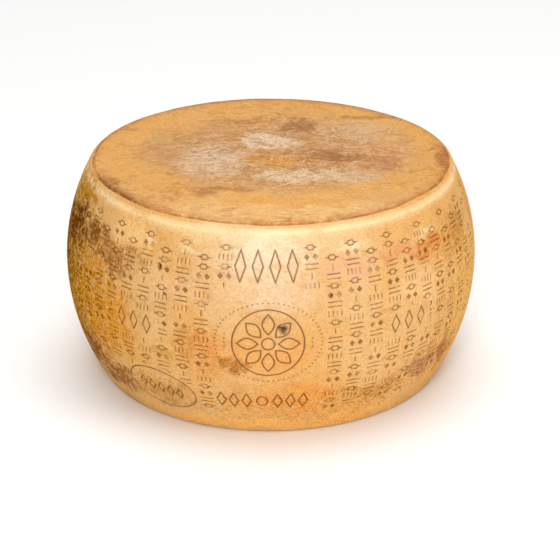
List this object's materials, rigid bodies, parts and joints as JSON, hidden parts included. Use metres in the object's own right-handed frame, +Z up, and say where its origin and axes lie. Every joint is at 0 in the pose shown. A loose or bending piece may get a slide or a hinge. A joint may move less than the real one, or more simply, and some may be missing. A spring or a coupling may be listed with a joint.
{
  "type": "parmesan cheese wheel",
  "caption": "Whole uncut wheel of hard grana-type cheese, barrel sided and flat above and below, with an oiled golden rind and pressed ornamental marks.",
  "frame": {"origin": "centre of the flat face that the wheel lies on", "axes": "+Z up along the wheel's axis; the side with the large pressed marks faces -Y; +X to the right seen from that side"},
  "size_m": [0.4408, 0.4402, 0.2374],
  "materials": {
    "rind": "oiled natural rind, satin, finely grained"
  },
  "bodies": {
    "root": {"wheel": "rind"}
  },
  "joints": []
}
